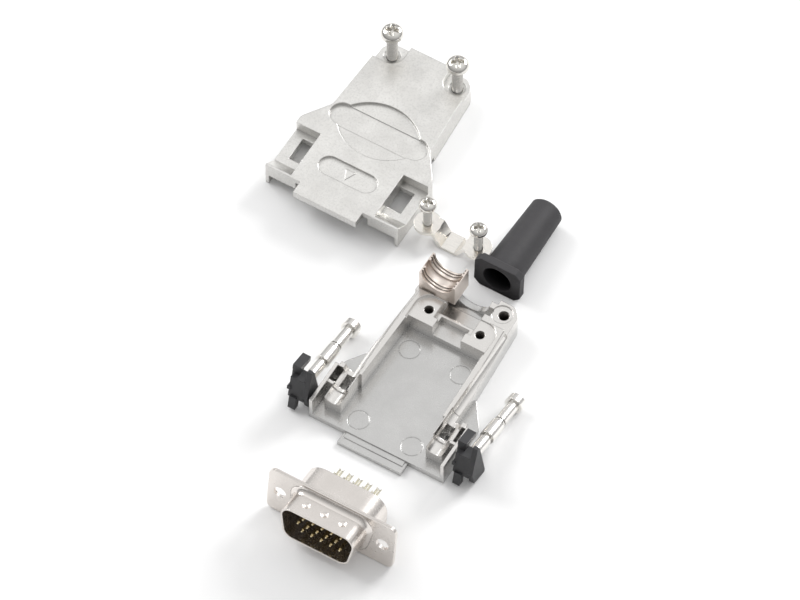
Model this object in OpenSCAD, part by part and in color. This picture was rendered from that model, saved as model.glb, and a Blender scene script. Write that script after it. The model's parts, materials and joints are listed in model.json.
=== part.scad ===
// Metal hood for a two-row-size connector with 15 contacts, laid open on a table.
// Millimetres. +X is the width, +Y runs from the connector end to the cable end, +Z is up.
// The origin is the centre of the base shell's underside. Every piece is drawn in the closed
// hood's own sizes and then laid down beside the base shell.

/* [Hood shells] */
// Width of the hood at its connector end
hood_front_w = 33; // [31:0.5:38]
// Length of the hood, without its front tongues
hood_len = 42.3; // [40:0.5:55]
// Height of each half shell up to the joint face
shell_h = 6.5; // [6:0.25:9]
// Thickness of the base shell's floor
floor_t = 1.4; // [1:0.1:1.8]
// Thickness of the cover's roof
roof_t = 1.4; // [1.2:0.1:1.6]
// Thickness of the outer side walls
side_wall = 0.8; // [0.6:0.1:1.1]
// Width of the hood where the shoulders end
neck_w = 24.2; // [23:0.2:25]
// Distance from the connector end to the start of the shoulders
shoulder_y = 14.2; // [13.8:0.1:17]
// Angle of the sloping shoulders to the hood's length
shoulder_angle = 35; // [30:1:50]
// Radius of the outer bend of the shoulders
shoulder_r = 2; // [1.5:0.1:2.5]
// Radius of the inner bend of the shoulders
shoulder_in_r = 3; // [2:0.1:4]
// Width of the connector cavity between the screw pockets
cavity_w = 20.9; // [20:0.1:21.2]
// Width of the connector cavity at its cable end
cavity_rear_w = 18.8; // [17:0.2:19]
// Distance from the connector end to the cavity's rear wall
cavity_len = 29.2; // [27:0.2:29.4]
// Height of the inner lip above the joint face
lip_h = 0.4; // [0.2:0.05:0.8]
// Width of the joint face outside the inner lip
ledge_w = 1.1; // [0.8:0.1:1.3]
// Width of the front tongue
tongue_w = 15.6; // [12:0.2:18]
// Reach of the front tongue
tongue_len = 3; // [2:0.25:4]
// Thickness of the cover's tongue
tongue_t = 1.8; // [1.2:0.1:2.4]
// Thickness of the base shell's tongue
base_tongue_t = 0.9; // [0.6:0.1:1]
// Distance from the connector end to the middle of the cover's round panel
panel_y = 19.9; // [18:0.1:22]
// Depth of the round panel
panel_depth = 0.6; // [0.2:0.05:0.8]
// Depth of the long panel that crosses the round one
bar_depth = 0.8; // [0.3:0.05:1]
// Depth of the small arrow panel
arrow_depth = 0.55; // [0.2:0.05:0.8]
// Radius of the ejector marks on the floor
ejector_mark_r = 2.4; // [1.5:0.1:2.6]

/* [Screw pockets] */
// Distance of each jackscrew axis from the middle
jack_x = 12.5; // [12.3:0.1:12.8]
// Distance from the connector end to the pocket's front wall
pocket_y = 2.9; // [2.5:0.1:3.5]
// Distance from the connector end to the pocket's rear wall
pocket_end_y = 10.6; // [10:0.1:12]
// Radius of the half-round seat for the jackscrew
trough_r = 2.2; // [1.9:0.05:2.3]
// Depth of the corner pads below the cover's top face
pad_depth = 2.8; // [1.5:0.1:3]
// Length of the corner pads
pad_len = 12.9; // [11.6:0.1:13.5]
// Distance from the middle to the inner side of the corner pads
pad_x = 10.4; // [10:0.1:11.5]
// Height of the low shoulder ledge on the base shell
ledge_z = 1.6; // [1.3:0.1:3]

/* [Fasteners] */
// Distance of each cover screw from the middle
cover_screw_x = 8.2; // [8:0.1:8.6]
// Radius of the rounded cable-end corners
corner_r = 2.95; // [2.7:0.05:3.2]
// Diameter of the cover screw shank
cover_screw_d = 2.5; // [2:0.1:2.8]
// Length of the cover screw below its head
cover_screw_len = 10.3; // [9:0.1:14]
// Diameter of the cover screw head
cover_head_d = 5; // [4.2:0.1:5.4]
// Distance between the two clamp screws
clamp_pitch = 12.6; // [12.2:0.1:13.4]
// Distance of the clamp screws from the cable end
clamp_inset = 9.7; // [9.4:0.1:10]
// Diameter of the clamp screw shank
clamp_screw_d = 2; // [1.6:0.1:2.3]
// Length of the clamp screw below its head
clamp_screw_len = 8.8; // [7:0.1:9.5]
// Diameter of the clamp screw head
clamp_head_d = 3.9; // [3.4:0.1:4.4]
// Radial clearance between a screw and its hole
screw_gap = 0.05; // [0.03:0.01:0.09]
// Diameter of the jackscrew shank
jack_d = 2.7; // [2.4:0.1:3]
// Diameter of the jackscrew's thicker middle
jack_mid_d = 3.3; // [3.1:0.1:3.7]
// Diameter of the jackscrew head
jack_head_d = 4.1; // [3.8:0.1:5]
// Length of the jackscrew
jack_len = 22.5; // [20:0.5:30]
// Width of the cross recess and slot in the screw heads
driver_slot = 0.7; // [0.4:0.05:0.9]

/* [Jackscrew clips] */
// Thickness of the clip's block around the jackscrew
clip_t = 4.6; // [4:0.1:6]
// Height of the clip above the jackscrew axis
clip_above = 5.6; // [4.5:0.1:6.5]
// Height of the clip below the jackscrew axis
clip_below = 5.8; // [5:0.1:7.5]
// Thickness of the clip's outer plate
clip_plate_t = 1.2; // [0.8:0.1:1.6]

/* [Cable clamp] */
// Thickness of the clamp strip
strap_t = 0.8; // [0.5:0.05:1.2]
// Radius of the strap's round ears
ear_r = 3; // [2.6:0.1:3.2]
// Drop of the strap's middle below its ears
strap_drop = 3; // [2:0.1:4]
// Width of the strap's middle
strap_w = 4.6; // [3.5:0.1:6]
// Width of the clamp saddle
saddle_w = 8.8; // [8.6:0.1:9.6]
// Length of the clamp saddle along the cable
saddle_len = 5.8; // [5:0.1:6.4]
// Height of the clamp saddle
saddle_h = 6; // [5.6:0.1:7.5]
// Radius of the saddle's half-round seat
saddle_r = 3.8; // [3.4:0.05:4.1]

/* [Bend relief boot] */
// Outer diameter of the boot at its flange
boot_d = 8.6; // [7.8:0.1:8.7]
// Outer diameter of the boot at its free end
boot_end_d = 7.4; // [7:0.1:8.6]
// Diameter of the boot's cable hole
boot_bore_d = 5.6; // [5:0.1:6]
// Diameter of the wider mouth of the boot's bore
boot_mouth_d = 6.8; // [6.2:0.1:7]
// Depth of the bore's mouth
boot_mouth_len = 6; // [4:0.5:8]
// Length of the boot
boot_len = 21.5; // [18:0.5:35]
// Width of the boot's flange
boot_flange_w = 11.2; // [10:0.1:12.8]
// Height of the boot's flange
boot_flange_h = 9.2; // [9:0.1:10.8]
// Thickness of the boot's flange
boot_flange_t = 1.8; // [1.6:0.1:2.4]

/* [Connector] */
// Width of the connector flange
flange_w = 30.81; // [30:0.1:32]
// Height of the connector flange
flange_h = 12.55; // [12:0.05:13]
// Thickness of each shell's sheet
sheet_t = 0.4; // [0.3:0.05:0.7]
// Distance between the two flange holes
flange_pitch = 24.99; // [24.8:0.01:25.4]
// Diameter of the flange holes
flange_hole_d = 3.05; // [2.8:0.05:3.3]
// Inner width of the front shell
front_shell_w = 16.92; // [16.7:0.01:17.4]
// Inner height of the front shell
front_shell_h = 8.36; // [8.2:0.01:8.8]
// Depth of the front shell
front_shell_len = 6; // [5:0.1:7]
// Inner corner radius of the front shell
front_corner_r = 2.2; // [1.8:0.1:2.6]
// Depth from the front shell's open end to its insulator
insulator_depth = 4.8; // [4:0.1:5.4]
// Outer width of the rear shell
rear_shell_w = 19.28; // [18.8:0.01:19.6]
// Outer height of the rear shell
rear_shell_h = 10.72; // [10.4:0.01:11]
// Depth of the rear shell
rear_shell_len = 6; // [4.5:0.1:7]
// Outer corner radius of the rear shell
rear_corner_r = 4.2; // [1.9:0.1:5]
// Distance between neighbouring contacts in a row
pin_pitch = 2.29; // [2.2:0.01:2.4]
// Distance between the rows of contacts
row_pitch = 1.98; // [1.8:0.01:2.1]
// Diameter of the contact pins
pin_d = 0.76; // [0.6:0.02:0.9]
// Outer diameter of the solder cups
cup_d = 1.2; // [1:0.05:1.5]
// Length of the contacts behind the rear shell
cup_len = 4.4; // [2.5:0.1:5]

/* [Layout on the table] */
// Least gap between neighbouring pieces on the table
lay_gap = 0.6; // [0.4:0.1:2]
// Gap between the base shell's tongue and the connector's contacts
connector_lay = 8.7; // [3:0.1:20]
// Gap between the hood and the cover's tongue
cover_lay = 1.1; // [0.5:0.1:5]
// Distance of the connector from the middle of the base shell
connector_x = 2.6; // [0:0.1:5]
// Distance of the boot's axis from the middle of the base shell
boot_x = 1.8; // [0:0.1:6]
// Gap between the hood's cable end and the boot
boot_lay = 5.1; // [3:0.1:9]
// Gap between each side of the base shell and its clip
clip_lay = 0.7; // [0.4:0.1:4]
// Distance from the connector end to the front of each clip
clip_lay_y = 2.3; // [0:0.1:8]
// How much nearer the connector the left jackscrew lies than the right one
clip_lay_step = 1.5; // [0:0.1:4]
// Length of each screw that stands inside its hole
screw_hold = 2; // [1.4:0.1:3]

/* [Hidden] */
$fn = 64;
clear = 1; // overshoot of every cut
seat = 0.02; // clearance between parts that sit face to face
rows = 3;
pins_in_row = 5;

// Hood outline
shoulder_span = neck_w / 2 - hood_front_w / 2 + shoulder_r + shoulder_in_r;
shoulder_end_y = shoulder_y
    + (shoulder_r + shoulder_in_r - shoulder_span * cos(shoulder_angle)) / sin(shoulder_angle);
corner_y = hood_len - corner_r;
pocket_x = cavity_w / 2 + 0.75;
pocket_out_x = hood_front_w / 2 - side_wall;
clip_slot_x = pocket_out_x - 1.3;
deck_z = shell_h - 0.3;

// Cable clamp seat and boot slot, measured from the cable end
clamp_y = hood_len - clamp_inset;
boot_wall_t = 1.5;
boot_wall_y = hood_len - 1.2 - boot_wall_t;
boot_slot_y = boot_wall_y - boot_flange_t - 0.2;
seat_w = saddle_w + 0.3;
seat_y = boot_slot_y - saddle_len - 0.3;
seat_z = shell_h - 3.4;
boot_hole_r = boot_d / 2 + 0.05;
notch_w = seat_w - 2.2;
rib_y = seat_y + 1.6;
rib_t = 0.6;
rib_z = seat_z + 1.9;

// Fasteners
cover_hole_r = cover_screw_d / 2 + screw_gap;
clamp_hole_r = clamp_screw_d / 2 + screw_gap;
jack_hole_r = jack_d / 2 + screw_gap;
head_h = 2.1;
clamp_head_h = 1.6;
jack_head_h = 2.2;
screw_recess_r = cover_head_d / 2 + 0.6;
screw_recess_z = shell_h - 1.8;

// Connector
shell_mid_y = 2 * sheet_t + seat;
row_shift = pin_pitch / 4;
d_lean = 10;
flange_corner_r = 1.6;
root_step = 0.35;
dimple_pitch = 4.4;
dimple_r = 1.3;
dimple_y = 2.9 - front_shell_len;
insulator_recess = 0.4;
insulator_end_y = shell_mid_y + rear_shell_len - insulator_recess;
cup_y = shell_mid_y + rear_shell_len + cup_len;
connector_lean = atan((flange_h - rear_shell_h) / 2 / (shell_mid_y + rear_shell_len));
connector_y = -tongue_len - connector_lay - cup_y * cos(connector_lean);

// Pieces on the table, measured from the base shell's connector end
boot_lean = atan((boot_flange_h - boot_end_d) / 2 / (boot_len - boot_flange_t));
boot_lift = boot_flange_h / 2 * cos(boot_lean) + boot_flange_t * sin(boot_lean);
boot_y = hood_len + boot_lay;
strap_x = boot_x - boot_d / 2 - lay_gap - ear_r - clamp_pitch / 2;
strap_y = boot_y + boot_flange_t + lay_gap + ear_r + 0.2;
cover_x = strap_x - clamp_pitch / 2 - ear_r - lay_gap - hood_front_w / 2;
cover_y = hood_len + cover_lay + tongue_len;
saddle_x = -6.5;
saddle_y = hood_len - 3.2;
clip_y = -0.8;
clip_foot_y = clip_y + 6.1;
clip_in = clip_t / 2 + 0.6;
jack_lean = atan((clip_below - jack_head_d / 2) / (jack_len - clip_foot_y));
jack_lift = clip_below * cos(jack_lean) + clip_foot_y * sin(jack_lean);
jack_right_x = hood_front_w / 2 + clip_lay + clip_in;
jack_left_x = -hood_front_w / 2 - clip_lay - clip_t / 2;

// ---- helpers ----

// Places its children by the base shell's connector end instead of its middle
module from_front(x, y, z = 0) translate([x, y - hood_len / 2, z]) children();

// Draws its children on both sides of the middle
module both_sides() {
    children();
    mirror([1, 0, 0]) children();
}

// A bar along Y with the given cross-section centre
module bar_y(x, z, r, y0, y1) translate([x, y0, z]) rotate([-90, 0, 0]) cylinder(r = r, h = y1 - y0);

// A box between two corners
module span(from, to) translate(from) cube(to - from);

// Plan outline of the hood, moved inwards by an inset. The front edge is at front_y.
module hood_outline(inset, front_y) {
    half_front = hood_front_w / 2;
    half_neck = neck_w / 2;
    half_rear = cover_screw_x + corner_r - inset;
    out_x = cos(shoulder_angle);
    out_y = sin(shoulder_angle);
    bend = [half_front - shoulder_r, shoulder_y];
    dip = [half_neck + shoulder_in_r, shoulder_end_y];
    both_sides() {
        difference() {
            polygon([
                [0, front_y], [half_front - inset, front_y], [half_front - inset, shoulder_y],
                bend + (shoulder_r - inset) * [out_x, out_y], dip - (shoulder_in_r + inset) * [out_x, out_y],
                [half_neck - inset, shoulder_end_y], [half_rear, corner_y], [0, corner_y]
            ]);
            translate(dip) circle(r = shoulder_in_r + inset);
        }
        translate(bend) circle(r = shoulder_r - inset);
        translate([cover_screw_x, corner_y]) circle(r = corner_r - inset);
        translate([0, corner_y]) square([cover_screw_x, corner_r - inset]);
    }
}

// ---- base shell ----

module base_walls() {
    linear_extrude(floor_t) hood_outline(0, 0);
    linear_extrude(ledge_z) intersection() {
        hood_outline(0, 0);
        base_low_zone();
    }
    linear_extrude(shell_h) difference() {
        hood_outline(0, 0);
        base_low_zone();
    }
    translate([0, 0, shell_h - clear]) linear_extrude(lip_h + clear) difference() {
        hood_outline(ledge_w, pocket_y);
        base_lip_gap();
    }
    span([-tongue_w / 2, -tongue_len, 0], [tongue_w / 2, 0.5, base_tongue_t]);
    span([-tongue_w / 2 + 0.6, -tongue_len * 0.45, 0], [tongue_w / 2 - 0.6, 0.5, base_tongue_t + 0.2]);
}

// The shoulder ledge behind the pockets, which stays low
module base_low_zone() both_sides() translate([neck_w / 2 + 0.3, pocket_end_y + 1.2])
    square([hood_front_w, shoulder_end_y]);

// Where the inner lip is left out: the pockets, the low ledge and the deck
module base_lip_gap() {
    both_sides() translate([pocket_x - 0.1, -clear]) square([hood_front_w, pocket_end_y + 2.4]);
    base_low_zone();
    translate([-cover_screw_x - corner_r, saddle_y - saddle_len / 2 - 0.3])
        square([2 * (cover_screw_x + corner_r), hood_len]);
}

module base_cavity() {
    top = shell_h + lip_h + clear;
    half_front = cavity_w / 2;
    half_step = half_front - 0.5;
    step_y = pocket_end_y + 0.2;
    translate([0, 0, floor_t]) linear_extrude(top) polygon([
        [-half_front, -clear], [half_front, -clear], [half_front, step_y], [half_step, step_y],
        [cavity_rear_w / 2, cavity_len], [-cavity_rear_w / 2, cavity_len],
        [-half_step, step_y], [-half_front, step_y]
    ]);
    span([-pocket_out_x, -clear, floor_t], [pocket_out_x, pocket_y, top]);
    both_sides() span([pocket_x, pocket_y - clear, floor_t], [pocket_out_x, pocket_end_y, top]);
}

// Walls that carry the jackscrew across one pocket
module pocket_ribs() {
    divider_y = pocket_y + 3.4;
    span([pocket_x - 0.1, pocket_y, 0], [clip_slot_x, divider_y, shell_h - 0.9]);
    span([cavity_w / 2, pocket_y, 0], [clip_slot_x, pocket_y + 0.8, shell_h]);
    span([pocket_x - 0.1, divider_y - 0.1, 0], [pocket_out_x + 0.1, divider_y + 0.6, shell_h - 0.5]);
    span([clip_slot_x - 1.1, divider_y, 0], [clip_slot_x, pocket_end_y + 0.1, shell_h - 1.4]);
}

module pocket_cuts() {
    bar_y(jack_x, shell_h, trough_r, pocket_y - clear, pocket_y + 3.2);
    bar_y(jack_x, shell_h, jack_mid_d / 2 + 0.2, pocket_y, pocket_end_y + 3);
    bar_y(jack_x, shell_h, jack_d / 2 + 0.35, pocket_end_y, hood_len - 7);
    span([pocket_x + 0.3, pocket_y + 4.6, -clear], [clip_slot_x - 1.6, pocket_end_y - 0.5, floor_t + clear]);
    span([clip_slot_x, pocket_y + 5, -clear], [pocket_out_x, pocket_end_y - 0.5, floor_t + clear]);
    span([pocket_out_x - 0.2, pocket_end_y + 0.4, shell_h - 2.2], [hood_front_w, pocket_end_y + 3, shell_h + 1]);
}

// Deck at the cable end, with the clamp seat and the slot for the boot's flange
module rear_deck_cuts() {
    top = shell_h + lip_h + clear;
    span([-seat_w / 2, seat_y, rib_z], [seat_w / 2, boot_slot_y + clear, top]);
    span([-seat_w / 2, rib_y + rib_t, seat_z], [seat_w / 2, boot_slot_y + clear, top]);
    span([-notch_w / 2, cavity_len - clear, seat_z], [notch_w / 2, rib_y, top]);
    span([-boot_flange_w / 2 - 0.1, boot_slot_y, shell_h - boot_flange_h / 2 - 0.1],
        [boot_flange_w / 2 + 0.1, boot_wall_y, top]);
    bar_y(0, shell_h, boot_hole_r, boot_slot_y, hood_len + clear);
    span([-cover_screw_x + 2.4, hood_len - 1.2, -clear], [cover_screw_x - 2.4, hood_len + clear, top]);
    both_sides() {
        translate([clamp_pitch / 2, clamp_y, floor_t]) cylinder(r = clamp_hole_r, h = top);
        translate([cover_screw_x, corner_y, -clear]) cylinder(r = cover_hole_r - 0.1, h = top + 2 * clear);
        translate([0, 0, deck_z]) linear_extrude(top) clamp_deck();
        translate([cover_screw_x - 0.4, corner_y, deck_z]) cylinder(r = 2.3, h = top);
    }
}

// Sunk deck around one clamp screw, open to the cavity, with a rounded outer corner
module clamp_deck() {
    deck_r = clamp_pitch / 2 - seat_w / 2 + 1.6;
    translate([clamp_pitch / 2, clamp_y]) circle(r = deck_r);
    translate([clamp_pitch / 2 - deck_r, cavity_len - clear]) square([2 * deck_r, clamp_y - cavity_len + clear]);
    translate([clamp_pitch / 2 - deck_r, clamp_y]) square([deck_r, deck_r]);
}

module ejector_marks() {
    for (side = [-1, 1]) {
        translate([side * 6.3, cavity_len - 4.7, floor_t - 0.06]) ring(ejector_mark_r, 0.16, 1);
        translate([side * 6.5, pocket_y + 0.9, floor_t - 0.06]) ring(ejector_mark_r, 0.16, 1);
    }
}

module ring(r, width, h) difference() {
    cylinder(r = r, h = h);
    translate([0, 0, -clear]) cylinder(r = r - width, h = h + 2 * clear);
}

module base_shell() color("lightgray") from_front(0, 0) difference() {
    union() {
        difference() {
            base_walls();
            base_cavity();
        }
        both_sides() {
            span([cavity_w / 2, pocket_y, 0], [pocket_x, pocket_end_y + 0.3, shell_h + lip_h]);
            pocket_ribs();
            translate([neck_w / 2, pocket_end_y, 0]) cube([hood_front_w / 2 - neck_w / 2 - side_wall, 1.2, shell_h]);
        }
    }
    both_sides() pocket_cuts();
    rear_deck_cuts();
    ejector_marks();
}

// ---- cover shell ----

module cover_shell() color("gainsboro") from_front(cover_x, cover_y) difference() {
    union() {
        difference() {
            linear_extrude(shell_h) hood_outline(0, 0);
            cover_hollow();
            both_sides() cover_pad_cut();
        }
        span([-tongue_w / 2, -tongue_len, shell_h - tongue_t], [tongue_w / 2, clear, shell_h]);
        both_sides() {
            cover_screw_boss();
            cover_pad_plate();
        }
        intersection() {
            span([-hood_front_w, boot_wall_y, 0], [hood_front_w, hood_len - 0.4, shell_h]);
            linear_extrude(shell_h) hood_outline(0.3, 0);
        }
    }
    bar_y(0, 0, boot_hole_r, boot_wall_y - clear, hood_len + clear);
    cover_marks();
    both_sides() {
        translate([cover_screw_x, corner_y, -clear]) cylinder(r = cover_hole_r, h = shell_h + 2 * clear);
        cover_screw_recess();
        cover_window();
        bar_y(jack_x, 0, jack_mid_d / 2 + 0.3, pocket_y, shoulder_end_y + 1);
    }
}

module cover_hollow() {
    translate([0, 0, -clear]) linear_extrude(shell_h - roof_t + clear) hood_outline(side_wall, -clear);
}

// The roof sinks to a pad at each front corner, with a wedge lip in front of it
module cover_pad_cut() {
    lip_len = pocket_y + 0.8;
    translate([pad_x, 0, 0]) rotate([90, 0, 90]) linear_extrude(hood_front_w) polygon([
        [0.6, shell_h + clear], [0.6, shell_h - 0.2], [lip_len, shell_h - pad_depth],
        [pad_len, shell_h - pad_depth], [pad_len, shell_h + clear]
    ]);
}

module cover_pad_plate() {
    in_x = pad_x - roof_t;
    out_x = pocket_out_x + 0.1;
    low_z = shell_h - pad_depth - roof_t;
    lip_len = pocket_y + 0.8;
    span([in_x, 0.4, low_z], [out_x, pad_len + roof_t, shell_h - pad_depth]);
    span([in_x, 0.4, low_z], [pad_x, pad_len + roof_t, shell_h - 0.3]);
    span([in_x, pad_len, low_z], [out_x, pad_len + roof_t, shell_h - 0.3]);
    translate([in_x, 0, 0]) rotate([90, 0, 90]) linear_extrude(out_x - in_x) polygon([
        [0, low_z + 0.6], [0, shell_h - 0.2], [0.6, shell_h - 0.2], [lip_len, shell_h - pad_depth],
        [lip_len, low_z], [0.5, low_z]
    ]);
}

module cover_window() {
    window_y = pocket_y + 2.7;
    span([pad_x, window_y, -clear], [pocket_out_x - 1.7, pad_len - 1.4, shell_h - pad_depth + 0.01]);
}

// Solid corner around a cover screw, wider than the recess for its head
module cover_screw_boss() linear_extrude(shell_h) intersection() {
    translate([cover_screw_x, corner_y]) circle(r = screw_recess_r + 0.8);
    hood_outline(0, 0);
}

module cover_screw_recess() {
    translate([cover_screw_x, corner_y, screw_recess_z]) {
        cylinder(r = screw_recess_r, h = shell_h);
        translate([0, -screw_recess_r, 0]) cube([screw_recess_r + clear, corner_r + screw_recess_r + clear, shell_h]);
        translate([-screw_recess_r, 0, 0]) cube([2 * screw_recess_r, corner_r + clear, shell_h]);
        translate([0, 0, -0.25]) cylinder(r = cover_screw_d / 2 + 0.6, h = shell_h);
    }
}

// Shallow panels on the cover's top face
module cover_marks() {
    disc_w = 20.8;
    disc_h = 14;
    translate([0, panel_y, shell_h - panel_depth]) linear_extrude(clear) intersection() {
        translate([0, disc_arc(disc_w, disc_h) - disc_h / 2]) circle(r = disc_arc(disc_w, disc_h));
        translate([0, disc_h / 2 - disc_arc(disc_w, disc_h)]) circle(r = disc_arc(disc_w, disc_h));
    }
    translate([0, panel_y, shell_h - bar_depth]) linear_extrude(clear) pill(24, 5.6);
    translate([0, 6.9, shell_h - arrow_depth]) linear_extrude(clear) difference() {
        pill(14.1, 4.9);
        arrow();
    }
    translate([0, 6.9, shell_h - arrow_depth + 0.15]) linear_extrude(clear) arrow();
}

module arrow() polygon([[-1.2, 1.3], [1.2, 1.3], [0, -1.3]]);

// Radius of each of two arcs that meet in a lens of the given size
function disc_arc(w, h) = (w * w / 4 + h * h / 4) / h;

// A bar with round ends
module pill(length, width) {
    square([length - width, width], center = true);
    for (side = [-1, 1]) translate([side * (length - width) / 2, 0]) circle(d = width);
}

// ---- fasteners ----

// A screw along +Z from its tip, with a domed head and a cross recess
module cross_head_screw(shank_d, length, head_d, cap_h) difference() {
    union() {
        cylinder(d = shank_d, h = length + 0.2);
        rotate_extrude() polygon([
            [0, length], [head_d / 2 - 0.25, length], [head_d / 2, length + 0.3], [head_d / 2, length + cap_h * 0.4],
            [head_d * 0.45, length + cap_h * 0.68], [head_d * 0.33, length + cap_h * 0.88],
            [head_d * 0.16, length + cap_h], [0, length + cap_h]
        ]);
    }
    for (turn = [0, 90]) rotate(turn)
        translate([-head_d * 0.29, -driver_slot / 2, length + cap_h * 0.45]) cube([head_d * 0.58, driver_slot, cap_h]);
}

module cover_screw(side) color("silver")
    from_front(cover_x + side * cover_screw_x, cover_y + corner_y, screw_recess_z - 0.25 - screw_hold)
    cross_head_screw(cover_screw_d, cover_screw_len, cover_head_d, head_h);

module clamp_screw(side) color("silver")
    from_front(strap_x + side * clamp_pitch / 2, strap_y, strap_drop - screw_hold + 0.2)
    cross_head_screw(clamp_screw_d, clamp_screw_len, clamp_head_d, clamp_head_h);

// A jackscrew along +Y from its threaded tip to its slotted head
module jackscrew_shape() rotate([-90, 0, 0]) difference() {
    mid_y = jack_len * 0.4;
    mid_end_y = jack_len * 0.6;
    step = 0.4;
    head_y = jack_len - jack_head_h;
    groove_r = jack_d / 2 - 0.25;
    rotate_extrude() polygon([
        [0, 0], [jack_d / 2 - 0.4, 0], [jack_d / 2, 0.5], [jack_d / 2, mid_y - 0.7],
        [groove_r, mid_y - 0.7], [groove_r, mid_y], [jack_mid_d / 2, mid_y], [jack_mid_d / 2, mid_end_y],
        [groove_r, mid_end_y], [groove_r, mid_end_y + step],
        [jack_d / 2, mid_end_y + step], [jack_d / 2, mid_end_y + 2 * step],
        [groove_r, mid_end_y + 2 * step], [groove_r, mid_end_y + 3 * step],
        [jack_d / 2, mid_end_y + 3 * step], [jack_d / 2, head_y],
        [jack_head_d / 2, head_y], [jack_head_d / 2, jack_len - 0.4], [jack_head_d / 2 - 0.4, jack_len],
        [0, jack_len]
    ]);
    translate([-jack_head_d, -driver_slot / 2, jack_len - 1.1]) cube([2 * jack_head_d, driver_slot, 3]);
}

// Lays a jackscrew and its clip beside the base shell, on the clip's foot and the screw's head
module jack_place(side) {
    lay_x = side > 0 ? jack_right_x : jack_left_x;
    lay_y = side > 0 ? clip_lay_y : clip_lay_y - clip_lay_step;
    from_front(lay_x, lay_y - clip_y, jack_lift) rotate([-jack_lean, 0, 0]) children();
}

module jackscrew(side) color("silver") jack_place(side) jackscrew_shape();

// A clip around the tip of a jackscrew along Y, with its plate on the right and its hook on the left
module clip_shape() difference() {
    plate_x = clip_t / 2 - clip_plate_t;
    back_y = clip_y + clip_t;
    arm_y = clip_y + 1.6;
    arm_end_y = clip_y + 3.6;
    union() {
        translate([plate_x, 0, 0]) rotate([90, 0, 90]) linear_extrude(clip_plate_t) polygon([
            [clip_y, -1.9], [clip_y + 1.7, -clip_below + 0.1], [clip_foot_y, -clip_below],
            [clip_foot_y, -clip_below + 0.8], [clip_y + 1.5, clip_above], [clip_y + 0.6, clip_above]
        ]);
        span([-clip_in + 0.5, clip_y + 0.3, -3.4], [plate_x + 0.1, arm_end_y, 2.3]);
        span([-clip_in + 0.3, clip_y + 0.6, -clip_below + 1.9], [plate_x + 0.1, back_y + 0.4, -2.4]);
        span([-clip_in + 0.1, arm_y, -3], [-clip_in + 1.9, arm_end_y - 0.2, clip_above - 1]);
        span([-clip_in, arm_y, clip_above - 2.3], [-clip_in + 2, arm_end_y + 2.2, clip_above - 1]);
        span([-clip_in + 0.2, arm_end_y - clear, 0.6], [-clip_in + 0.8, back_y + 0.9, clip_above - 2.2]);
        span([-clip_in + 1, clip_y - 0.2, -clip_below - 0.6], [-clip_in + 2.7, clip_y + 1.3, -3]);
        span([-clip_in + 0.1, clip_y, -1.4], [-clip_in + 0.9, clip_y + 2.4, -0.5]);
    }
    bar_y(0, 0, jack_hole_r, -0.1, 2 * jack_len);
}

module jackscrew_clip(side) color("dimgray") jack_place(side) clip_shape();

// ---- cable clamp ----

module clamp_strap() color("silver") from_front(strap_x, strap_y) difference() {
    both_sides() {
        translate([clamp_pitch / 2, 0, strap_drop]) cylinder(r = ear_r, h = strap_t);
        translate([0, strap_w / 2, 0]) rotate([90, 0, 0]) linear_extrude(strap_w) polygon([
            [0, 0], [clamp_pitch / 2 - ear_r - 1.2, 0], [clamp_pitch / 2 - ear_r + 0.6, strap_drop],
            [clamp_pitch / 2 - 1.2, strap_drop], [clamp_pitch / 2 - 1.2, strap_drop + strap_t],
            [clamp_pitch / 2 - ear_r + 0.1, strap_drop + strap_t],
            [clamp_pitch / 2 - ear_r - 1.7, strap_t], [0, strap_t]
        ]);
    }
    both_sides() translate([clamp_pitch / 2, 0, 0]) cylinder(r = clamp_hole_r, h = 20);
}

// Half-round cable seat with two groups of ribs
module clamp_saddle() color("tan") from_front(saddle_x, saddle_y, shell_h + seat) difference() {
    translate([-saddle_w / 2, -saddle_len / 2, 0]) cube([saddle_w, saddle_len, saddle_h]);
    bar_y(0, saddle_h, saddle_r, -saddle_len, saddle_len);
    bar_y(0, saddle_h, saddle_r + 0.45, -0.85, 0.85);
    for (side = [-1, 1], step = [0, 1]) {
        groove_y = side * (saddle_len / 2 - 0.6 - step * 0.7);
        bar_y(0, saddle_h, saddle_r + 0.3, groove_y - 0.2, groove_y + 0.2);
    }
}

// ---- bend relief boot ----

module bend_relief_boot() color("darkslategray")
    from_front(boot_x, boot_y, boot_lift) rotate([-boot_lean, 0, 0]) difference() {
    chamfer = 1.4;
    half_w = boot_flange_w / 2;
    half_h = boot_flange_h / 2;
    union() {
        translate([0, boot_flange_t, 0]) rotate([90, 0, 0]) linear_extrude(boot_flange_t) polygon([
            [-half_w + chamfer, -half_h], [half_w - chamfer, -half_h], [half_w, -half_h + chamfer],
            [half_w, half_h - chamfer], [half_w - chamfer, half_h], [-half_w + chamfer, half_h],
            [-half_w, half_h - chamfer], [-half_w, -half_h + chamfer]
        ]);
        rotate([-90, 0, 0]) rotate_extrude() polygon([
            [0, 0.1], [boot_d / 2, 0.1], [boot_d / 2, boot_flange_t + 1.9],
            [boot_end_d / 2, boot_len - 0.4], [boot_end_d / 2 - 0.4, boot_len], [0, boot_len]
        ]);
    }
    bar_y(0, 0, boot_bore_d / 2, -clear, boot_len + clear);
    bar_y(0, 0, boot_mouth_d / 2, -clear, boot_mouth_len);
}

// ---- connector ----

// Lays the connector on its flange's lower edge and its rear shell
module connector_place() {
    lift = flange_h / 2 * cos(connector_lean) + shell_mid_y * sin(connector_lean);
    from_front(connector_x, connector_y, lift) rotate([-connector_lean, 0, 0]) children();
}

// A plate or tube section drawn in XZ and drawn out along +Y
module draw_y(y0, y1) translate([0, y1, 0]) rotate([90, 0, 0]) linear_extrude(y1 - y0) children();

// Points of a corner arc, from one angle to another
function arc_points(x, z, r, from, to, steps = 10) = [
    for (i = [0 : steps]) [x + r * cos(from + (to - from) * i / steps), z + r * sin(from + (to - from) * i / steps)]
];

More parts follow.
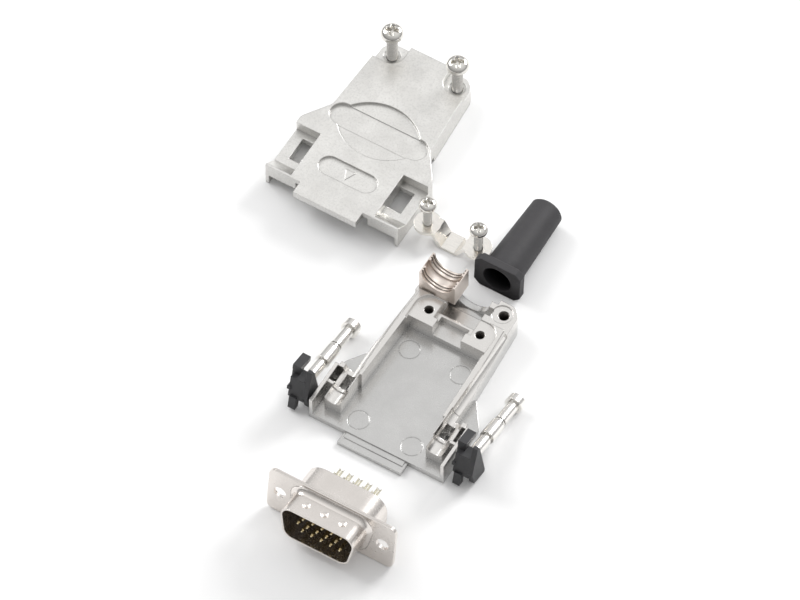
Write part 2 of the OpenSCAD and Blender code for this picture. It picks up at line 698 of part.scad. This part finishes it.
// D outline of the front shell's inside with its wide side up, grown by a margin.
// Its sides lean in.
module d_outline(grow) {
    r = front_corner_r + grow;
    top_x = front_shell_w / 2 - front_corner_r;
    top_z = front_shell_h / 2 - front_corner_r;
    low_x = top_x - 2 * top_z * tan(d_lean);
    polygon(concat(
        arc_points(top_x, top_z, r, -d_lean, 90),
        arc_points(-top_x, top_z, r, 90, 180 + d_lean),
        arc_points(-low_x, -top_z, r, 180 + d_lean, 270),
        arc_points(low_x, -top_z, r, 270, 360 - d_lean)
    ));
}

module round_rect(w, h, r) {
    square([w - 2 * r, h], center = true);
    square([w, h - 2 * r], center = true);
    for (x = [-1, 1], z = [-1, 1]) translate([x * (w / 2 - r), z * (h / 2 - r)]) circle(r = r);
}

module flange_plate() difference() {
    round_rect(flange_w, flange_h, flange_corner_r);
    for (side = [-1, 1]) translate([side * flange_pitch / 2, 0]) circle(d = flange_hole_d);
}

module connector_front_shell() color("lightsteelblue") connector_place() difference() {
    union() {
        draw_y(0, sheet_t) flange_plate();
        draw_y(-front_shell_len, sheet_t) d_outline(sheet_t);
        draw_y(-sheet_t, sheet_t) d_outline(sheet_t + root_step);
    }
    draw_y(-front_shell_len - clear, sheet_t + clear) d_outline(0);
    for (place = [-1, 0, 1])
        translate([place * dimple_pitch, dimple_y, front_shell_h / 2 + sheet_t + dimple_r * 0.75])
            sphere(r = dimple_r);
}

module connector_rear_shell() color("thistle") connector_place() difference() {
    union() {
        draw_y(sheet_t + seat, shell_mid_y) flange_plate();
        draw_y(sheet_t + seat, shell_mid_y + rear_shell_len)
            round_rect(rear_shell_w, rear_shell_h, rear_corner_r);
    }
    draw_y(0, shell_mid_y + rear_shell_len + clear)
        round_rect(rear_shell_w - 2 * sheet_t, rear_shell_h - 2 * sheet_t, rear_corner_r - sheet_t);
}

// Cuts the contact holes through an insulator
module contact_holes(y0, y1) for (i = [1 : rows * pins_in_row])
    bar_y(contact_x(i), contact_z(i), pin_d / 2 + seat, y0, y1);

module front_insulator() color("saddlebrown") connector_place() difference() {
    draw_y(-front_shell_len + insulator_depth, sheet_t) d_outline(-seat);
    contact_holes(-front_shell_len, sheet_t + clear);
}

module rear_insulator() color("dimgray") connector_place() difference() {
    inset = sheet_t + seat;
    draw_y(inset, insulator_end_y)
        round_rect(rear_shell_w - 2 * inset, rear_shell_h - 2 * inset, rear_corner_r - inset);
    contact_holes(0, insulator_end_y + clear);
}

// Row and place of a contact, counted from the top left
function contact_row(i) = floor((i - 1) / pins_in_row);
function contact_x(i) = ((i - 1) % pins_in_row - (pins_in_row - 1) / 2) * pin_pitch
    + (contact_row(i) % 2 == 0 ? row_shift : -row_shift);
function contact_z(i) = ((rows - 1) / 2 - contact_row(i)) * row_pitch;

module contact(i) color("gold") connector_place() translate([contact_x(i), 0, contact_z(i)]) difference() {
    tip_y = -front_shell_len + 0.9;
    cup_from = insulator_end_y + seat;
    rotate([-90, 0, 0]) rotate_extrude() polygon([
        [0, tip_y], [pin_d / 4, tip_y + 0.05], [pin_d / 2, tip_y + 0.6], [pin_d / 2, cup_from],
        [cup_d / 2, cup_from], [cup_d / 2, cup_y], [0, cup_y]
    ]);
    bar_y(0, 0, cup_d / 2 - 0.18, cup_from + 0.9, cup_y + clear);
    span([-cup_d, cup_from + 1.3, 0], [cup_d, cup_y + clear, cup_d]);
}

base_shell();
cover_shell();
cover_screw(-1);  // cover_screw_left
cover_screw(1);  // cover_screw_right
clamp_strap();
clamp_screw(-1);  // clamp_screw_left
clamp_screw(1);  // clamp_screw_right
clamp_saddle();
bend_relief_boot();
jackscrew(-1);  // jackscrew_left
jackscrew(1);  // jackscrew_right
jackscrew_clip(-1);  // jackscrew_clip_left
jackscrew_clip(1);  // jackscrew_clip_right
connector_front_shell();
connector_rear_shell();
front_insulator();
rear_insulator();
for (i = [1 : rows * pins_in_row]) {
    contact(i);
}
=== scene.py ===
"""Looks of the laid-out connector hood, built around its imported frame. Metres, in the frame's own axes."""

import json
import math

import bmesh
import bpy
from mathutils import Matrix, Vector


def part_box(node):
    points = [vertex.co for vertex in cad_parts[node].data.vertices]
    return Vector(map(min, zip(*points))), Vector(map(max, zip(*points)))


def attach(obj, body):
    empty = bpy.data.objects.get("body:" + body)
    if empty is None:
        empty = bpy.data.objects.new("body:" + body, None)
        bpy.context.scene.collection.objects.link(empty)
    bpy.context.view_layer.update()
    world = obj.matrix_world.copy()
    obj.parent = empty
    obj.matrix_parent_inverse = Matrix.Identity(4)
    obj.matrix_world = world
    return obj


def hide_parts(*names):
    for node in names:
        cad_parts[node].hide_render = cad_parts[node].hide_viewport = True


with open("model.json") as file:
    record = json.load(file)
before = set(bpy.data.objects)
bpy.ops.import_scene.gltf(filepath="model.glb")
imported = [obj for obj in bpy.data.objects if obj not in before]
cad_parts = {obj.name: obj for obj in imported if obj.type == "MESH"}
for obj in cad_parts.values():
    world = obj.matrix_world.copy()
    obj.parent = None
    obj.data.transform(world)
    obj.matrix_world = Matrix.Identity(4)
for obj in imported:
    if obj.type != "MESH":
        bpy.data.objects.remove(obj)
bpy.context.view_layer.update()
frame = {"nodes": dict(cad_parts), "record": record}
nodes = frame["nodes"]
MM = 0.001


# ---- materials ----


class Graph:
    """Short calls for a material's node tree."""

    def __init__(self, name):
        self.material = bpy.data.materials.new(name)
        self.material.use_nodes = True
        self.tree = self.material.node_tree
        self.shader = self.tree.nodes["Principled BSDF"]
        self.coords = self.add("ShaderNodeTexCoord").outputs["Object"]

    def add(self, kind, **values):
        node = self.tree.nodes.new(kind)
        for key, value in values.items():
            setattr(node, key, value)
        return node

    def wire(self, source, target):
        self.tree.links.new(source, target)

    def put(self, socket, value):
        """Wires a socket's source, or sets its plain value."""
        if isinstance(value, bpy.types.NodeSocket):
            self.wire(value, socket)
        else:
            socket.default_value = value

    def noise(self, size, detail=3, rough=0.5, stretch=(1, 1, 1)):
        """Noise from 0 to 1 with features of a given size in metres."""
        place = self.add("ShaderNodeMapping")
        place.inputs["Scale"].default_value = stretch
        self.wire(self.coords, place.inputs["Vector"])
        node = self.add("ShaderNodeTexNoise")
        node.inputs["Scale"].default_value = 1 / size
        node.inputs["Detail"].default_value = detail
        node.inputs["Roughness"].default_value = rough
        self.wire(place.outputs["Vector"], node.inputs["Vector"])
        return node.outputs["Fac"]

    def remap(self, value, low, high, to_low, to_high):
        node = self.add("ShaderNodeMapRange")
        self.wire(value, node.inputs["Value"])
        for key, number in (("From Min", low), ("From Max", high), ("To Min", to_low), ("To Max", to_high)):
            node.inputs[key].default_value = number
        return node.outputs["Result"]

    def math(self, operation, a, b=0.0):
        node = self.add("ShaderNodeMath", operation=operation)
        self.put(node.inputs[0], a)
        self.put(node.inputs[1], b)
        return node.outputs[0]

    def mix(self, share, a, b):
        node = self.add("ShaderNodeMix", data_type="RGBA")
        self.put(node.inputs["Factor"], share)
        for key, colour in (("A", a), ("B", b)):
            socket = [s for s in node.inputs if s.name == key and s.type == "RGBA"][0]
            self.put(socket, colour if isinstance(colour, bpy.types.NodeSocket) else (*colour, 1))
        return [s for s in node.outputs if s.type == "RGBA"][0]

    def soft_normal(self, radius):
        """Normal with the edges rounded by a radius."""
        node = self.add("ShaderNodeBevel", samples=6)
        node.inputs["Radius"].default_value = radius
        return node.outputs["Normal"]

    def edge_share(self, normal):
        """1 on a rounded edge, 0 on a flat face."""
        geometry = self.add("ShaderNodeNewGeometry")
        dot = self.add("ShaderNodeVectorMath", operation="DOT_PRODUCT")
        self.wire(normal, dot.inputs[0])
        self.wire(geometry.outputs["Normal"], dot.inputs[1])
        return self.remap(dot.outputs["Value"], 0.99, 0.8, 0.0, 1.0)

    def along(self, axis):
        """Place along one axis of the object."""
        split = self.add("ShaderNodeSeparateXYZ")
        self.wire(self.add("ShaderNodeTexCoord").outputs["Object"], split.inputs["Vector"])
        return split.outputs[axis]

    def crevice(self, reach):
        """Mask for painted shade: 1 deep in a crevice, 0 in the open."""
        node = self.add("ShaderNodeAmbientOcclusion", samples=8)
        node.inputs["Distance"].default_value = reach
        return self.remap(node.outputs["AO"], 0.25, 0.8, 1.0, 0.0)

    def bump(self, height, distance, normal):
        """Normal bent by a relief of a given height in metres."""
        node = self.add("ShaderNodeBump")
        node.inputs["Strength"].default_value = 1.0
        node.inputs["Distance"].default_value = distance
        self.wire(height, node.inputs["Height"])
        self.wire(normal, node.inputs["Normal"])
        return node.outputs["Normal"]


# Where the solder cups start along Y, and where the base's walls rise above its floor
CUPS_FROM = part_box("rear_insulator")[1][1]
WALLS_FROM = 2.4 * MM


def metal(name, colour, shade, rough, grain=0.22, depth=4e-6, edge=0.15, stretch=(1, 1, 1), reach=1.2,
          crevice_shade_strength=0.75, speck=0.45, rear_colour=None, lit_wall_colour=None):
    """Plated metal: grain of the casting or sheet, cloudy sheen, rounded edges painted lighter as a painted
    highlight, and crevices painted darker as painted shade.

    Grain, edge and reach are in millimetres, and depth, the height of the grain, is in metres. The tone turns
    to rear_colour behind CUPS_FROM where it is given. Where a lighter wall tone is given, the tone turns to
    it above
    WALLS_FROM and the floor below stays darker: painted shade for what the floor reflects.
    """
    g = Graph(name)
    p = g.shader.inputs
    p["Metallic"].default_value = 1.0
    cloud = g.noise(4.5 * MM, 4, 0.6)
    fine = g.noise(grain * MM, 4, 0.65, stretch)
    specks = g.noise(0.11 * MM, 2, 0.5, stretch)
    tone = g.mix(g.remap(cloud, 0.3, 0.7, 0, 1), shade, colour)
    tone = g.mix(g.remap(fine, 0.45, 0.8, 0, speck), tone, tuple(0.82 * c for c in shade))
    # Painted shade: below WALLS_FROM the tone stays darker than on the walls above, standing in for the
    # darker reflection on the sunken floor
    if lit_wall_colour:
        tone = g.mix(g.remap(g.along("Z"), WALLS_FROM, WALLS_FROM + 2 * MM, 0, 1), tone, lit_wall_colour)
    if rear_colour:
        tone = g.mix(g.remap(g.along("Y"), CUPS_FROM - 0.5 * MM, CUPS_FROM, 0, 1), tone, rear_colour)
    normal = g.soft_normal(edge * MM)
    edge_wear_and_highlight = g.edge_share(normal)
    # Painted highlight: rounded edges are painted lighter, as if they caught the light
    tone = g.mix(g.math("MULTIPLY", edge_wear_and_highlight, 0.5), tone, tuple(min(1, 1.08 * c) for c in colour))
    # Painted shade: crevices and recesses are painted towards a dark copy of the tone, standing in for the
    # shade that falls there
    hidden = g.crevice(reach * MM)
    tone = g.mix(g.math("MULTIPLY", hidden, crevice_shade_strength), tone, tuple(0.3 * c for c in shade))
    g.wire(tone, p["Base Color"])
    sheen = g.math("ADD", g.remap(cloud, 0.2, 0.8, rough * 0.88, rough * 1.1),
                   g.remap(fine, 0.3, 0.7, -0.03, 0.05))
    polished = g.math("SUBTRACT", sheen, g.math("MULTIPLY", edge_wear_and_highlight, 0.06))
    g.wire(g.math("MAXIMUM", polished, 0.03), p["Roughness"])
    height = g.math("ADD", fine, g.math("MULTIPLY", specks, 0.5))
    g.wire(g.bump(height, depth, normal), p["Normal"])
    return g.material


def plastic(name, colour, pale, rough, grain=0.25, depth=8e-6, edge=0.18, specular=0.5, bore_reach=None):
    """Moulded plastic or rubber: fine grain, faint dust, rounded edges painted paler as a painted highlight,
    and painted shade inside a bore.

    Grain, edge and bore_reach are in millimetres, and depth is in metres.
    """
    g = Graph(name)
    p = g.shader.inputs
    p["Specular IOR Level"].default_value = specular
    cloud = g.noise(3.2 * MM, 4, 0.6)
    fine = g.noise(grain * MM, 3, 0.6)
    normal = g.soft_normal(edge * MM)
    edge_wear_and_highlight = g.edge_share(normal)
    tone = g.mix(g.remap(cloud, 0.35, 0.7, 0, 0.5), colour, pale)
    # Painted highlight: rounded edges are painted paler, as if they caught the light
    tone = g.mix(g.math("MULTIPLY", edge_wear_and_highlight, 0.45), tone, tuple(1.6 * c for c in pale))
    # Painted shade: deep inside a bore the colour and the specular fade to near black, standing in for the
    # shade there
    if bore_reach:
        hidden = g.crevice(bore_reach * MM)
        tone = g.mix(hidden, tone, tuple(0.08 * c for c in colour))
        g.wire(g.remap(hidden, 0, 1, specular, 0.03), p["Specular IOR Level"])
    g.wire(tone, p["Base Color"])
    g.wire(g.remap(fine, 0.25, 0.75, rough - 0.06, rough + 0.08), p["Roughness"])
    g.wire(g.bump(fine, depth, normal), p["Normal"])
    return g.material


cast_cover = metal("cast_cover", (0.81, 0.80, 0.775), (0.73, 0.72, 0.695), 0.36,
                   grain=0.42, depth=2.2e-5, edge=0.3, speck=1.0)
# Painted shade: the base's floor is darker than its walls above, standing in for what the floor reflects
cast_base = metal("cast_base", (0.66, 0.655, 0.645), (0.61, 0.605, 0.595), 0.24,
                  grain=0.3, depth=1.6e-6, edge=0.2, reach=1.4, crevice_shade_strength=0.35, speck=0.2,
                  lit_wall_colour=(0.80, 0.78, 0.755))
screw_nickel = metal("screw_nickel", (0.80, 0.78, 0.74), (0.72, 0.70, 0.66), 0.1,
                     grain=0.16, depth=1.5e-6, edge=0.06, reach=0.5, crevice_shade_strength=1.0)
bright_nickel = metal("bright_nickel", (0.96, 0.94, 0.905), (0.92, 0.90, 0.865), 0.2,
                      grain=0.16, depth=1.5e-6, edge=0.12, reach=0.7, crevice_shade_strength=0.85)
drawn_tin = metal("drawn_tin", (0.86, 0.815, 0.775), (0.82, 0.775, 0.735), 0.24,
                  grain=0.5, depth=5e-7, edge=0.11, reach=0.6, crevice_shade_strength=0.5, speck=0.1)
strip_metal = metal("strip_metal", (0.95, 0.92, 0.87), (0.90, 0.87, 0.82), 0.2,
                    grain=0.3, depth=2.5e-6, edge=0.12, stretch=(0.15, 1, 1))
warm_metal = metal("warm_metal", (0.85, 0.77, 0.71), (0.77, 0.69, 0.63), 0.36,
                   grain=0.25, depth=4e-6, edge=0.14, reach=0.7, crevice_shade_strength=0.8)
gold_plate = metal("gold_plate", (0.86, 0.76, 0.50), (0.78, 0.67, 0.42), 0.2,
                   grain=0.1, depth=1e-6, edge=0.06, reach=0.5, rear_colour=(0.86, 0.83, 0.73))
# Painted shade: the threads in the tapped holes get a dark colour that stands in for the shade inside the
# holes
bore_painted_shade = metal("bore_painted_shade", (0.16, 0.15, 0.14), (0.10, 0.09, 0.08), 0.4,
                  grain=0.2, depth=3e-6, edge=0.05)
boot_rubber = plastic("boot_rubber", (0.035, 0.0335, 0.036), (0.048, 0.0455, 0.049), 0.62,
                      depth=2e-5, edge=0.3, bore_reach=8)
clip_black = plastic("clip_black", (0.028, 0.028, 0.030), (0.040, 0.040, 0.043), 0.48, edge=0.16)
front_plastic = plastic("front_plastic", (0.022, 0.012, 0.004), (0.042, 0.022, 0.007), 0.4,
                        edge=0.1, specular=0.35)
rear_plastic = plastic("rear_plastic", (0.014, 0.013, 0.013), (0.022, 0.020, 0.019), 0.45, edge=0.1)

FINISH = {
    "base_shell": cast_base,
    "cover_shell": cast_cover,
    "clamp_strap": strip_metal,
    "clamp_saddle": warm_metal,
    "bend_relief_boot": boot_rubber,
    "connector_front_shell": drawn_tin,
    "connector_rear_shell": drawn_tin,
    "front_insulator": front_plastic,
    "rear_insulator": rear_plastic,
}


def finish_of(name):
    if name in FINISH:
        return FINISH[name]
    if name.startswith("contact"):
        return gold_plate
    if name.startswith("jackscrew_clip"):
        return clip_black
    return bright_nickel


for name, node in nodes.items():
    for place in node.material_slots:
        place.material = finish_of(name)


# ---- screws ----


def new_piece(name, bm, material, body, smooth):
    """Object that rides on a body, made from a finished bmesh. Edges over smooth degrees stay sharp."""
    mesh = bpy.data.meshes.new(name)
    bmesh.ops.recalc_face_normals(bm, faces=bm.faces)
    for face in bm.faces:
        face.smooth = True
    bm.to_mesh(mesh)
    bm.free()
    mesh.set_sharp_from_angle(angle=math.radians(smooth))
    mesh.materials.append(material)
    piece = bpy.data.objects.new(name, mesh)
    bpy.context.scene.collection.objects.link(piece)
    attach(piece, body)
    return piece


def thread_profile(turn_share, root, crest):
    """Radius of a 60 degree thread at a share of one turn, with a narrow flat crest and root."""
    v = abs(2 * (turn_share % 1) - 1)
    return root + (crest - root) * min(1, max(0, (v - 0.12) / 0.76))


def threaded(bm, root, crest, pitch, low, high):
    """Rod about Z with a thread that fades in from its tip and out at its top, closed at the tip."""
    steps = 48
    rows_per_turn = 12
    count = round((high - low) / pitch * rows_per_turn)
    rings = []
    for row in range(count + 1):
        height = low + (high - low) * row / count
        fade = min(1, (height - low) / (0.9 * pitch), (high - height) / (0.7 * pitch))
        ring = []
        for i in range(steps):
            angle = math.tau * i / steps
            radius = thread_profile(height / pitch - i / steps, root, root + (crest - root) * fade)
            ring.append(bm.verts.new((radius * math.cos(angle), radius * math.sin(angle), height)))
        rings.append(ring)
    for a, b in zip(rings, rings[1:]):
        for i in range(steps):
            j = (i + 1) % steps
            bm.faces.new((a[i], a[j], b[j], b[i]))
    tip = bm.verts.new((0, 0, low - 0.15 * root))
    for i in range(steps):
        bm.faces.new((rings[0][(i + 1) % steps], rings[0][i], tip))
    return rings[-1]


def cross_depth(x, y, reach, half_slot, depth):
    """Depth of a cross recess with tapered walls at a point of the head."""
    arm = 0
    for along, across in ((abs(x), abs(y)), (abs(y), abs(x))):
        wall = min(1, max(0, (half_slot * 1.35 - across) / (half_slot * 0.5)))
        end = min(1, max(0, (reach - along) / (reach * 0.42)))
        arm = max(arm, wall * end)
    centre = min(1, max(0, (half_slot * 2.3 - math.hypot(x, y)) / (half_slot * 0.9)))
    return depth * max(arm, centre)


def screw_head(bm, neck, radius, low, height, slot_half):
    """Pan head on a ring of the shank, with a rounded rim and a cross recess."""
    steps = 96
    rings = 34
    rim_share = 0.34  # of the head's height, up to where its dome starts
    slot_reach = radius * 0.62
    slot_depth = height * 0.55
    outline = [(radius * 0.93, 0.0), (radius, height * 0.10), (radius, height * rim_share)]
    for i in range(1, rings + 1):
        turn = math.pi / 2 * i / rings
        rise = rim_share + (1 - rim_share) * math.sin(turn) ** 1.05
        outline.append((radius * math.cos(turn) ** 0.80, height * rise))
    built = [neck]
    for r, z in outline[:-1]:
        ring = []
        for i in range(steps):
            angle = math.tau * i / steps
            x, y = r * math.cos(angle), r * math.sin(angle)
            sunk = cross_depth(x, y, slot_reach, slot_half, slot_depth)
            ring.append(bm.verts.new((x, y, low + z - sunk)))
        built.append(ring)
    for a, b in zip(built, built[1:]):
        for i in range(steps):
            j = (i + 1) % steps
            corners = [a[i * len(a) // steps], a[j * len(a) // steps if j else 0], b[j], b[i]]
            bm.faces.new(list(dict.fromkeys(corners)))
    top = bm.verts.new((0, 0, low + height - slot_depth))
    for i in range(steps):
        bm.faces.new((built[-1][i], built[-1][(i + 1) % steps], top))


def cross_screw(node, shank_r, pitch, head_r, head_h, turn):
    """Threaded cross-head screw in place of a CAD screw along Z, its cross turned by some degrees."""
    low, high = (Vector(corner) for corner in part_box(node))
    middle = (low + high) / 2
    bm = bmesh.new()
    length = high.z - low.z - head_h
    ring = threaded(bm, shank_r - 0.54 * pitch, shank_r, pitch, 0.15 * shank_r, length)
    screw_head(bm, ring, head_r, length, head_h, head_r * 0.13)
    place = Matrix.Translation((middle.x, middle.y, low.z))
    bm.transform(place @ Matrix.Rotation(math.radians(turn), 4, "Z"))
    piece = new_piece(f"{node}_threaded", bm, screw_nickel, node, smooth=55)
    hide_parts(node)


for kind, shank_r, pitch, head_r, head_h in (
    ("cover_screw", 1.25, 0.5, 2.5, 2.1),
    ("clamp_screw", 1.0, 0.45, 1.95, 1.6),
):
    for side, turn in (("left", 20), ("right", 35)):
        cross_screw(f"{kind}_{side}", shank_r * MM, pitch * MM, head_r * MM, head_h * MM, turn)


# ---- threads of the tapped holes in the base shell ----


def tapped_liner(name, centre, hole_r, pitch, low, high):
    """Thread inside a hole: a thin tube, threaded on its inside and closed at both ends."""
    steps = 48
    rows_per_turn = 8
    bm = bmesh.new()
    count = round((high - low) / pitch * rows_per_turn)
    inner, outer = [], []
    for row in range(count + 1):
        height = low + (high - low) * row / count
        inside, outside = [], []
        for i in range(steps):
            angle = math.tau * i / steps
            bite = thread_profile(height / pitch - i / steps, 0.05 * MM, 0.45 * pitch)
            x, y = math.cos(angle), math.sin(angle)
            inside.append(bm.verts.new((x * (hole_r - bite), y * (hole_r - bite), height)))
            outside.append(bm.verts.new((x * hole_r, y * hole_r, height)))
        inner.append(inside)
        outer.append(outside)
    for rings in (inner, outer):
        for a, b in zip(rings, rings[1:]):
            for i in range(steps):
                j = (i + 1) % steps
                bm.faces.new((a[i], a[j], b[j], b[i]))
    for row in (0, -1):
        for i in range(steps):
            j = (i + 1) % steps
            bm.faces.new((inner[row][i], inner[row][j], outer[row][j], outer[row][i]))
    bm.transform(Matrix.Translation(centre))
    new_piece(name, bm, bore_painted_shade, "laid_out_set", smooth=50)


HALF_LEN = 21.15  # of the hood, from its connector end to the frame's origin, in millimetres
THREAD_PITCH = 0.45
for kind, x, y, hole_r, low, high in (
    ("clamp", 6.3, 32.6, 1.03, 1.5, 6.0),
    ("cover", 8.2, 39.35, 1.18, 0.3, 6.0),
):
    for side, word in ((-1, "left"), (1, "right")):
        centre = Vector((side * x, y - HALF_LEN, 0)) * MM
        tapped_liner(f"base_{kind}_thread_{word}", centre, hole_r * MM, THREAD_PITCH * MM,
                     low * MM, high * MM)


# ---- flare where the D-shaped shell leaves its flange ----


def d_loop(grow):
    """Points of the D outline in millimetres, grown by a margin, with its wide side up."""
    width, height, corner = 16.92, 8.36, 2.2
    lean = 10  # of the slanted sides, in degrees
    steps = 10
    top_x, top_z = width / 2 - corner, height / 2 - corner
    low_x = top_x - 2 * top_z * math.tan(math.radians(lean))
    points = []
    for x, z, start, end in (
        (top_x, top_z, -lean, 90), (-top_x, top_z, 90, 180 + lean),
        (-low_x, -top_z, 180 + lean, 270), (low_x, -top_z, 270, 360 - lean),
    ):
        for i in range(steps + 1):
            angle = math.radians(start + (end - start) * i / steps)
            points.append((x + (corner + grow) * math.cos(angle), z + (corner + grow) * math.sin(angle)))
    return points


def shell_flare():
    """Hollow rounding between the D-shaped shell and the flange that the connector's mounts lie on."""
    radius = 1.25  # in millimetres, like the sheet's thickness
    sheet = 0.4
    steps = 9
    mounts = {m["name"]: m for m in frame["record"]["mounts"]}
    left, right = (mounts[f"flange_hole_{word}"] for word in ("left", "right"))
    ahead = Vector(left["axis"]).normalized()
    middle = (Vector(left["pos_m"]) + Vector(right["pos_m"])) / 2 + ahead * (sheet + 0.01) * MM
    up = Vector((1, 0, 0)).cross(-ahead)
    section = [(sheet - 0.03, 0.0), (sheet - 0.03, radius)]
    for i in range(steps + 1):
        turn = math.pi / 2 * i / steps
        section.append((sheet + radius * (1 - math.cos(turn)), radius * (1 - math.sin(turn))))
    bm = bmesh.new()
    loops = []
    for grow, out in section:
        loops.append([
            bm.verts.new(middle + (Vector((x, 0, 0)) + up * z + ahead * out) * MM)
            for x, z in d_loop(grow)
        ])
    for a, b in zip(loops, loops[1:] + loops[:1]):
        for i in range(len(a)):
            j = (i + 1) % len(a)
            bm.faces.new((a[i], a[j], b[j], b[i]))
    new_piece("front_shell_flare", bm, drawn_tin, "laid_out_set", smooth=50)


shell_flare()


# ---- camera ----

camera = bpy.data.cameras.new("camera")
camera.lens = 400
camera.sensor_width = 36
camera.clip_start, camera.clip_end = 0.1, 10
view = bpy.data.objects.new("camera", camera)
bpy.context.scene.collection.objects.link(view)
azimuth, elevation, reach = math.radians(30.7), math.radians(57), 1.898
back = Vector((
    math.sin(azimuth) * math.cos(elevation),
    -math.cos(azimuth) * math.cos(elevation),
    math.sin(elevation),
))
middle = Vector((-14.9, 13.85, 0)) * MM
view.location = middle + back * reach
view.rotation_euler = (-back).to_track_quat("-Z", "Y").to_euler()
bpy.context.scene.camera = view


# ---- light ----


def area_light(name, place, size, watts):
    """Round soft light that points at the middle of the set."""
    target = Vector((-0.014, 0.012, 0))
    data = bpy.data.lights.new(name, "AREA")
    data.shape = "DISK"
    data.size = size
    data.energy = watts
    lamp = bpy.data.objects.new(name, data)
    lamp.location = place
    lamp.rotation_euler = (target - Vector(place)).to_track_quat("-Z", "Y").to_euler()
    bpy.context.scene.collection.objects.link(lamp)


area_light("key", (0.20, 0.76, 0.40), 0.42, 5.2)
area_light("fill", (-0.62, 0.10, 0.50), 0.46, 2.5)

# Sky that is darker low down and towards the camera's side
world = bpy.data.worlds.new("studio")
world.use_nodes = True
tree = world.node_tree
split = tree.nodes.new("ShaderNodeSeparateXYZ")
tree.links.new(tree.nodes.new("ShaderNodeTexCoord").outputs["Generated"], split.inputs["Vector"])
ramp = tree.nodes.new("ShaderNodeValToRGB")
ramp.color_ramp.elements[0].position = 0.0
ramp.color_ramp.elements[0].color = (0.34, 0.34, 0.345, 1)
ramp.color_ramp.elements[1].position = 0.9
ramp.color_ramp.elements[1].color = (1.0, 1.0, 1.0, 1)
tree.links.new(split.outputs["Z"], ramp.inputs["Fac"])
front = tree.nodes.new("ShaderNodeMapRange")
for key, number in (("From Min", -0.65), ("From Max", 0.25), ("To Min", 0.65), ("To Max", 1.0)):
    front.inputs[key].default_value = number
tree.links.new(split.outputs["Y"], front.inputs["Value"])
shaded = tree.nodes.new("ShaderNodeVectorMath")
shaded.operation = "SCALE"
tree.links.new(ramp.outputs["Color"], shaded.inputs[0])
tree.links.new(front.outputs["Result"], shaded.inputs["Scale"])
tree.links.new(shaded.outputs["Vector"], tree.nodes["Background"].inputs["Color"])
tree.nodes["Background"].inputs["Strength"].default_value = 0.94
bpy.context.scene.world = world
bpy.context.scene.view_settings.view_transform = "Standard"

# ---- floor ----

half = 3.0
corners = [(-half, -half, 0), (half, -half, 0), (half, half, 0), (-half, half, 0)]
floor_mesh = bpy.data.meshes.new("floor")
floor_mesh.from_pydata(corners, [], [(0, 1, 2, 3)])
floor = bpy.data.objects.new("floor", floor_mesh)
floor.location.z = -0.02 * MM
bpy.context.scene.collection.objects.link(floor)
paper = bpy.data.materials.new("paper")
paper.use_nodes = True
paper_inputs = paper.node_tree.nodes["Principled BSDF"].inputs
paper_inputs["Base Color"].default_value = (0.96, 0.96, 0.96, 1)
paper_inputs["Roughness"].default_value = 0.9
floor_mesh.materials.append(paper)
